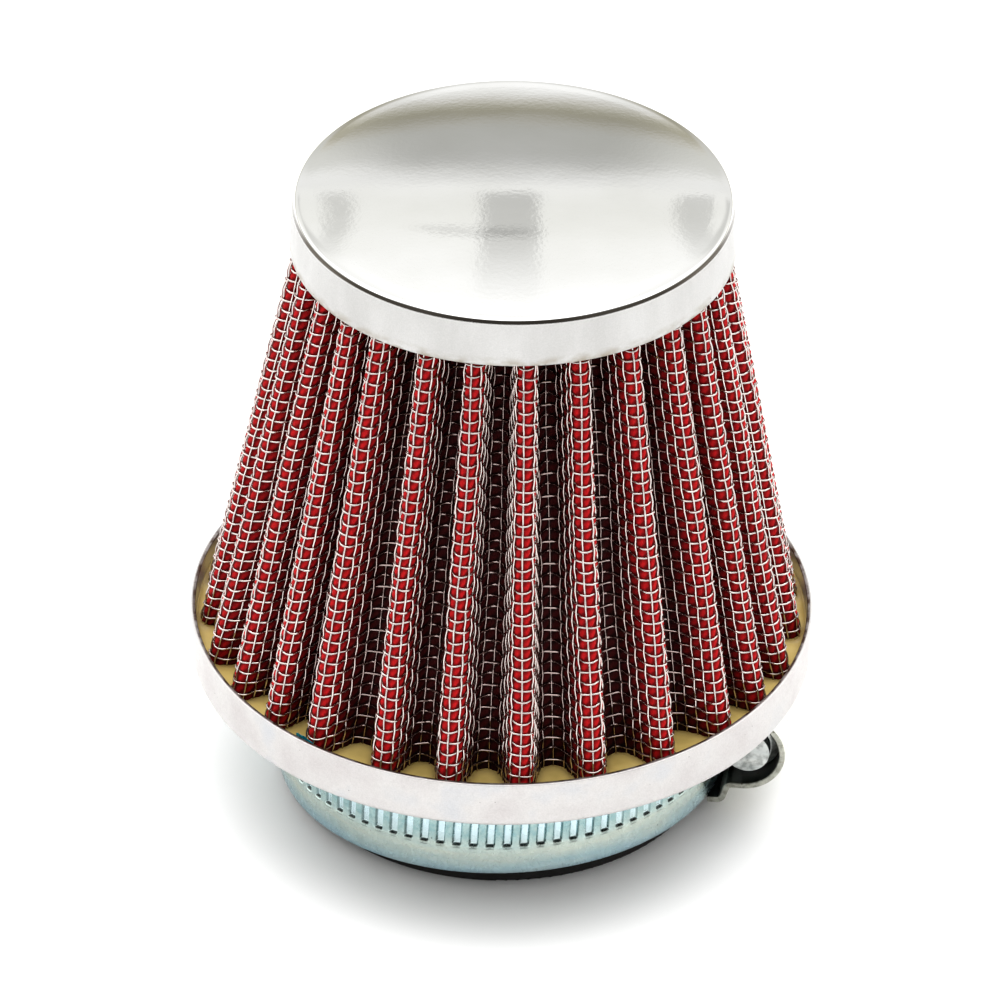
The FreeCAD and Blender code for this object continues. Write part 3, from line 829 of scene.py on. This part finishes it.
def red_cotton():
    """Oiled cotton gauze: bright red at the tips of the pleats, with painted shade making it nearly
    black down in the folds and dark at the pleats' feet, and painted shadow where the wires press on
    it."""
    s = Surface("red_cotton", Roughness=0.8, Specular_IOR_Level=0.12)
    fold = s.attribute("fold")
    depth = s.math("ADD", fold, s.between(s.noise(3, 2), 0.3, 0.7, -0.05, 0.05))
    # Painted shade: the deeper the cotton lies in its fold, the darker it is
    tone = s.ramp(
        depth,
        [
            (0.0, (0.52, 0.007, 0.009)),
            (0.2, (0.42, 0.004, 0.006)),
            (0.5, (0.14, 0.001, 0.0018)),
            (0.85, (0.035, 0.0004, 0.0006)),
        ],
    )
    fluff = s.between(s.noise(0.22, 3), 0.25, 0.75, 0.75, 1.2)
    # Painted shadow of the wires: darker next to them, lightest in the middle of each cell
    pressed = s.between(s.attribute("puff"), 0.05, 0.7, 0.3, 1.0)
    # Painted shade at the pleats' feet
    painted_shade = s.between(feet_shade(s, s.noise(1.5, 2)), 0, 1, 1.0, 0.35)
    s.feed("Base Color", s.darkened(tone, s.product(fluff, pressed, painted_shade)))
    s.feed("Normal", s.bump(s.noise(0.18, 3), 0.06))
    return s.material


def cream_resin():
    """Cast potting resin, a little glossy and uneven in colour, with painted shade darkening it next to
    the pleats and the pan's wall.
    """
    s = Surface("cream_resin", Roughness=0.42)
    tones = [(0.3, (0.56, 0.4, 0.11)), (0.55, (0.66, 0.49, 0.15)), (0.8, (0.72, 0.56, 0.21))]
    tone = s.ramp(s.noise(4, 4), tones)
    # Painted shade next to the pleats and the pan's wall
    painted_shade = s.between(s.attribute("painted_shade"), 0.1, 0.9, 0, 0.6)
    s.feed("Base Color", s.mixed(painted_shade, tone, (0.16, 0.09, 0.03)))
    s.feed("Normal", s.bump(s.noise(1.2, 3), 0.05))
    return s.material


def teal_film():
    """Thin glossy film, streaked darker."""
    s = Surface("teal_film", Roughness=0.25)
    tone = s.ramp(s.noise(0.5, 2), [(0.35, (0.0, 0.13, 0.2)), (0.65, (0.005, 0.3, 0.36))])
    s.feed("Base Color", tone)
    s.feed("Normal", s.bump(s.noise(0.4, 2), 0.05))
    return s.material


def black_rubber():
    """Matt moulded rubber."""
    s = Surface("black_rubber", Roughness=0.65, Specular_IOR_Level=0.25)
    tone = s.ramp(s.noise(2, 4), [(0.3, (0.004, 0.0035, 0.0035)), (0.7, (0.011, 0.01, 0.009))])
    s.feed("Base Color", tone)
    s.feed("Normal", s.bump(s.noise(0.3, 3), 0.02))
    return s.material


class Zinc(Surface):
    """Zinc plating with a thin coloured passivation, small pits and dark specks."""

    def __init__(self, name, cool, warm, rough):
        super().__init__(name, Metallic=1.0)
        middle = tuple((a + b) / 2 for a, b in zip(cool, warm))
        streaks = self.noise(9, 3, (1, 1, 9))
        self.tone = self.ramp(streaks, [(0.32, cool), (0.52, middle), (0.7, warm)])
        self.feed("Roughness", self.between(self.noise(0.8, 3), 0.3, 0.7, rough - 0.05, rough + 0.06))
        pits = self.bump(self.noise(0.16, 2), 0.005)
        self.feed("Normal", self.bump(self.noise(2.5, 2), 0.012, under=pits))

    def finish(self, speck_amount, speck_size=0.11):
        """Scatters the dark specks over the tone and makes it the colour."""
        near = self.between(self.specks(0.9), speck_size / 2, speck_size, 1.0, 0.0)
        patches = self.between(self.noise(3, 1), 0.6 - speck_amount, 0.7 - speck_amount)
        speck = self.product(near, patches)
        cloud = self.between(self.noise(1.3, 4), 0.3, 0.7, 0.94, 1.04)
        self.feed("Base Color", self.mixed(speck, self.darkened(self.tone, cloud), (0.06, 0.05, 0.04)))
        return self.material


def strap_zinc():
    """The strap: light blue slot floors made lighter as painted light, ribs between them a darker teal
    as painted shade, painted shade on the slots' flanks and end walls, and a warmer line along the
    middle of the plain margin."""
    s = Zinc("zinc_strap", (0.4, 0.57, 0.6), (0.62, 0.67, 0.58), 0.26)
    level = s.math("ADD", s.attribute("level"), s.between(s.noise(6, 2), 0.3, 0.7, -0.08, 0.08))
    margin = s.ramp(
        s.between(level, -1.0, 0.0),
        [
            (0.0, (0.36, 0.55, 0.67)),
            (0.2, (0.43, 0.59, 0.62)),
            (0.45, (0.64, 0.68, 0.58)),
            (0.65, (0.56, 0.68, 0.63)),
        ],
    )
    s.tone = s.mixed(0.6, s.tone, margin)
    # Painted shade: darker teal on the ribs between the slots
    rib = s.product(s.attribute("rib"), s.between(s.noise(0.7, 2), 0.3, 0.7, 0.45, 0.95))
    s.tone = s.mixed(rib, s.tone, (0.25, 0.43, 0.45))
    # Painted light: lighter blue slot floors, stronger above the band's middle
    floor = s.between(s.attribute("pocket"), 0.4, 0.9)
    floor = s.product(floor, s.between(level, -0.35, -0.05, 0.5, 1))
    s.tone = s.mixed(floor, s.tone, (0.66, 0.84, 0.89))
    # Painted shade on the slots' flanks
    s.tone = s.mixed(s.between(s.attribute("flank"), 0.2, 0.8, 0, 0.75), s.tone, (0.12, 0.22, 0.24))
    # Painted shade at each slot's end wall
    s.tone = s.mixed(s.between(s.attribute("end_wall_shade"), 0.2, 0.7, 0, 0.9), s.tone, (0.07, 0.085, 0.08))
    return s.finish(0.05)


def band_zinc():
    """The plain end of the band."""
    return Zinc("zinc_band", (0.45, 0.62, 0.66), (0.7, 0.74, 0.66), 0.28).finish(0.08)


def housing_zinc():
    """The housing: specked plating outside, mottled at its cut edges, and painted near black as shade
    on the faces towards the worm."""
    s = Zinc("zinc_housing", (0.6, 0.62, 0.58), (0.76, 0.74, 0.66), 0.36)
    joint = joint_named("screw_turn")

    def vector(operation, a, b, output="Vector"):
        return s.add("VectorMath", {0: a, 1: b}, operation=operation).outputs[output]

    spoke = vector("SUBTRACT", s.place, joint["pos_m"])
    along = s.add("VectorMath", {0: spoke, 1: joint["axis"]}, operation="PROJECT").outputs["Vector"]
    across = vector("SUBTRACT", spoke, along)
    normal = s.add("TexCoord", {}).outputs["Normal"]
    end_on = s.math("ABSOLUTE", vector("DOT_PRODUCT", normal, joint["axis"], "Value"))
    mottle = s.ramp(s.noise(0.7, 3), [(0.35, (0.24, 0.24, 0.2)), (0.6, (0.46, 0.46, 0.4))])
    s.tone = s.mixed(s.between(end_on, 0.6, 0.85), s.tone, mottle)
    facing = vector("DOT_PRODUCT", normal, across, "Value")
    distance = s.add("VectorMath", {0: across}, operation="LENGTH").outputs["Value"]
    # Painted shade: near black on the faces that look towards the worm
    inner_shade = s.between(s.math("DIVIDE", facing, distance), -0.45, -0.3, 0.93, 0)
    s.tone = s.mixed(inner_shade, s.tone, (0.03, 0.03, 0.028))
    return s.finish(0.1, 0.15)


def screw_zinc():
    """The screw: dull grey plating, blotched darker."""
    s = Zinc("zinc_screw", (0.5, 0.53, 0.52), (0.72, 0.73, 0.7), 0.34)
    blotch = s.between(s.noise(0.9, 4), 0.42, 0.66, 0, 0.75)
    s.tone = s.mixed(blotch, s.tone, (0.2, 0.21, 0.2))
    return s.finish(0.12)


def wear(pieces, material):
    """Gives every slot of each piece this material."""
    for piece in pieces:
        if not piece.data.materials:
            piece.data.materials.append(material)
        for slot in piece.material_slots:
            slot.material = material


# ---- Studio ----

# How bright the walls behind the filter and behind the camera are, at each height above the horizon
# in degrees
BACK_WALL = [
    (0, (1.07, 1.07, 1.07)),
    (13, (1.02, 1.02, 1.01)),
    (15, (0.82, 0.82, 0.8)),
    (16, (0.68, 0.67, 0.64)),
    (17, (0.53, 0.515, 0.46)),
    (18, (0.4, 0.385, 0.32)),
    (19, (0.32, 0.305, 0.24)),
    (20, (0.34, 0.325, 0.27)),
    (21.5, (0.42, 0.41, 0.37)),
    (23, (0.44, 0.44, 0.415)),
    (27.5, (0.46, 0.46, 0.44)),
    (29.5, (0.51, 0.51, 0.495)),
    (31, (0.63, 0.63, 0.615)),
    (32.5, (0.78, 0.78, 0.77)),
    (34.2, (0.9, 0.9, 0.88)),
    (37, (0.88, 0.88, 0.85)),
    (41, (0.92, 0.92, 0.89)),
    (46, (1.0, 1.0, 0.98)),
    (50, (1.07, 1.07, 1.06)),
    (54, (1.2, 1.2, 1.2)),
    (62, (4.2, 4.2, 4.2)),
    (90, (4.6, 4.6, 4.6)),
]
FRONT_WALL = [
    (0, (0.43, 0.43, 0.43)),
    (50, (0.4, 0.4, 0.39)),
    (60, (0.9, 0.9, 0.9)),
    (68, (4.2, 4.2, 4.2)),
    (90, (4.6, 4.6, 4.6)),
]
BRIGHTEST = 4.6
# The share of the way to the back, out of 1, over which the front wall turns into the back one
WALLS_MEET = 0.25
# Away from straight ahead, the back wall's bands bend: those below its grey band up and those above
# it down, by this many degrees for each square degree of bearing, up to a limit. The bend changes
# over between the two heights.
WALL_LIFT = 0.0115
WALL_DROOP = 0.024
WALL_BEND_LIMIT = 20.0
WALL_BEND_HEIGHTS = (20, 30)
# The grey band is lighter to the sides: the bearings that it gets lighter between, the share that
# it gets lighter by, and the heights that this fades out between
GREY_BAND_SIDES = (5.0, 12.0, 0.5)
GREY_BAND_TOP = (29, 34)
# The bearings, in degrees either way from straight ahead, between which the side walls fade in and
# out again, and how much brighter than the end walls they are
SIDE_WALLS = (24, 45, 135, 160)
SIDE_WALL_GAIN = 0.7
SIDE_WALL_TOP = (50, 60)
# The window's bars: each one's bearing and half its width in degrees, and how dark it is
WINDOW_BARS = [(-12.0, 0.8, 0.24), (-0.2, 2.1, 0.34), (12.5, 1.1, 0.26)]
# The height of the bars' feet, the height where they start to fade, and the height they fade over
WINDOW_BAR_HEIGHTS = (34.9, 39.0, 15.0)
# What share of their bearing the bars' tops keep
WINDOW_BAR_LEAN = 0.62
# A faint latch across the window: its bearing, height, half sizes and how dark it is
WINDOW_LATCH = (-3.0, 41.4, 5.0, 0.5, 0.22)

FLOOR_SIDES = (-2500, 2500)
FLOOR_ENDS = (-1500, 3500)
FLOOR_DROP = 0.02  # below the filter's foot, so that their faces don't fight


def make_floor():
    (left, right), (front, back), low = FLOOR_SIDES, FLOOR_ENDS, -FLOOR_DROP
    corners = [(left, front, low), (right, front, low), (right, back, low), (left, back, low)]
    floor = mesh_object("floor", corners, [(0, 1, 2, 3)])
    s = Surface("floor_white", Roughness=0.9, Specular_IOR_Level=0.1)
    s.feed("Base Color", s.ramp(s.noise(80, 2), [(0.3, (0.9, 0.9, 0.9)), (0.7, (0.91, 0.91, 0.91))]))
    wear([floor], s.material)


class Room(Nodes):
    """The world's shader, which is a room seen from its middle. A direction in it has a rise above
    the horizon, a bearing from straight back, and a level, which is the rise with the back wall's
    bend put in. All are in degrees."""

    range_kind = "SMOOTHSTEP"

    def __init__(self, tree):
        super().__init__(tree)
        direction = self.add("TexCoord", {}).outputs["Generated"]
        parts = self.add("SeparateXYZ", {"Vector": direction}).outputs
        self.rise = self.math("DEGREES", self.math("ARCSINE", parts["Z"]))
        self.bearing = self.math("DEGREES", self.math("ARCTAN2", parts["X"], parts["Y"]))
        self.turned = self.math("ABSOLUTE", self.bearing)
        self.behind = self.between(parts["Y"], -WALLS_MEET, WALLS_MEET)
        square = self.math("POWER", self.math("MINIMUM", self.turned, WALL_BEND_LIMIT), 2.0)
        bend = self.between(self.rise, *WALL_BEND_HEIGHTS, -WALL_LIFT, WALL_DROOP)
        self.level = self.math("ADD", self.rise, self.product(square, bend))

    def wall(self, degrees, stops):
        """A wall's colour. The ramp holds shares of the brightest, so that they stay under 1."""
        shares = [(height / 90, [c / BRIGHTEST for c in colour]) for height, colour in stops]
        return self.ramp(self.math("DIVIDE", degrees, 90.0), shares)

    def window_bars(self):
        """How dark the window's bars make the wall, from 0."""
        low, high, fade = WINDOW_BAR_HEIGHTS
        lean = self.between(self.level, low, high + fade, 1.0, WINDOW_BAR_LEAN)
        leaning = self.product(self.bearing, lean)
        darkest = 0.0
        for centre, half_width, darkness in WINDOW_BARS:
            off = self.math("ABSOLUTE", self.math("SUBTRACT", leaning, centre))
            bar = self.between(off, half_width - 0.6, half_width + 0.6, darkness, 0.0)
            darkest = self.math("MAXIMUM", darkest, bar)
        foot = self.between(self.level, low - 0.7, low + 0.7)
        return self.product(darkest, foot, self.between(self.level, high, high + fade, 1.0, 0.0))

    def window_latch(self):
        """How dark the latch makes the wall, from 0."""
        bearing, height, half_width, half_height, darkness = WINDOW_LATCH
        off = self.math("ABSOLUTE", self.math("SUBTRACT", self.bearing, bearing))
        above = self.math("ABSOLUTE", self.math("SUBTRACT", self.level, height))
        across = self.between(off, half_width - 2, half_width + 1, darkness, 0.0)
        return self.product(across, self.between(above, 0.0, 2 * half_height, 1.0, 0.0))

    def gain(self):
        """How much brighter the side walls, and the grey band's sides, are than the ramps say."""
        start, full, fading, end = SIDE_WALLS
        side = self.product(
            self.between(self.turned, start, full),
            self.between(self.turned, fading, end, 1.0, 0.0),
            self.between(self.rise, *SIDE_WALL_TOP, 1.0, 0.0),
            SIDE_WALL_GAIN,
        )
        near, far, lighter = GREY_BAND_SIDES
        beside = self.product(
            self.between(self.turned, near, far, 0.0, lighter),
            self.behind,
            self.between(self.level, *GREY_BAND_TOP, 1.0, 0.0),
        )
        return self.math("ADD", self.math("ADD", 1.0, side), beside)


def make_studio():
    """A white room round the filter. The wall behind it has a bright window over a grey band, and
    the wall behind the camera is darker."""
    world = bpy.data.worlds.new("studio")
    bpy.context.scene.world = world
    world.use_nodes = True
    tree = world.node_tree
    room = Room(tree)
    shade = room.math("SUBTRACT", 1.0, room.math("ADD", room.window_bars(), room.window_latch()))
    back = room.darkened(room.wall(room.level, BACK_WALL), shade)
    colour = room.mixed(room.behind, room.wall(room.rise, FRONT_WALL), back)
    strength = room.math("MULTIPLY", room.gain(), BRIGHTEST)
    shine = room.add("Background", {"Color": colour, "Strength": strength})
    output = next((n for n in tree.nodes if n.type == "OUTPUT_WORLD"), None)
    output = output or tree.nodes.new("ShaderNodeOutputWorld")
    tree.links.new(shine.outputs["Background"], output.inputs["Surface"])


def make_camera():
    """The photograph's viewing angle."""
    data = bpy.data.cameras.new("camera")
    data.lens = CAMERA_LENS
    data.sensor_width = CAMERA_SENSOR
    data.clip_end = CAMERA_REACH
    camera = bpy.data.objects.new("camera", data)
    bpy.context.scene.collection.objects.link(camera)
    place, aim = Vector(CAMERA_PLACE) * MM, Vector(CAMERA_AIM) * MM
    turn = (aim - place).to_track_quat("-Z", "Y").to_matrix().to_4x4()
    roll = Matrix.Rotation(math.radians(CAMERA_ROLL), 4, "Z")
    camera.matrix_world = Matrix.Translation(place) @ turn @ roll
    bpy.context.scene.camera = camera


# ---- Putting it together ----


def make_filter():
    """The pieces that don't move: cap, pan, resin, cloths, cotton and neck."""
    cloth = Cloth(CLOTH_MIDDLE)
    wires = weave("outer_cloth", cloth, "outer_mesh", 3, 5)
    inner = weave("inner_cloth", Cloth(INNER_CLOTH_MIDDLE), "inner_mesh", 2, 4)
    cotton = cotton_skin(cloth)
    cap, pan, resin, film = make_cap(), make_pan(), make_base_resin(), make_film_scrap()
    wear(wires + inner, bright_wire())
    wear([cotton, frame["nodes"]["cotton_inner_ply"]], red_cotton())
    wear([cap], chrome_and_satin())
    wear([pan], satin_aluminium())
    wear([resin, frame["nodes"]["top_potting"]], cream_resin())
    wear([film], teal_film())
    wear([frame["nodes"]["rubber_neck"]], black_rubber())
    slots = {"mesh_wire": wires + inner, "cotton": [cotton], "cap_metal": [cap], "pan_metal": [pan]}
    slots["potting"] = [resin, film]
    for slot, pieces in slots.items():
        for piece in pieces:
            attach(piece, "filter")


def make_clamp():
    """The band's slotted end, made here, and the CAD's band, housing and screw."""
    nodes = frame["nodes"]
    strap = make_strap()
    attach(strap, "strap")
    for name, width in (("clamp_band", 0.12), ("clamp_housing", 0.16), ("clamp_screw", 0.12)):
        soften_edges(nodes[name], width)
    wear([strap], strap_zinc())
    wear([nodes["clamp_band"]], band_zinc())
    wear([nodes["clamp_housing"]], housing_zinc())
    wear([nodes["clamp_screw"]], screw_zinc())


def main():
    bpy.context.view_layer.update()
    make_filter()
    make_clamp()
    make_floor()
    make_studio()
    make_camera()
    bpy.context.scene.view_settings.view_transform = "Standard"


main()
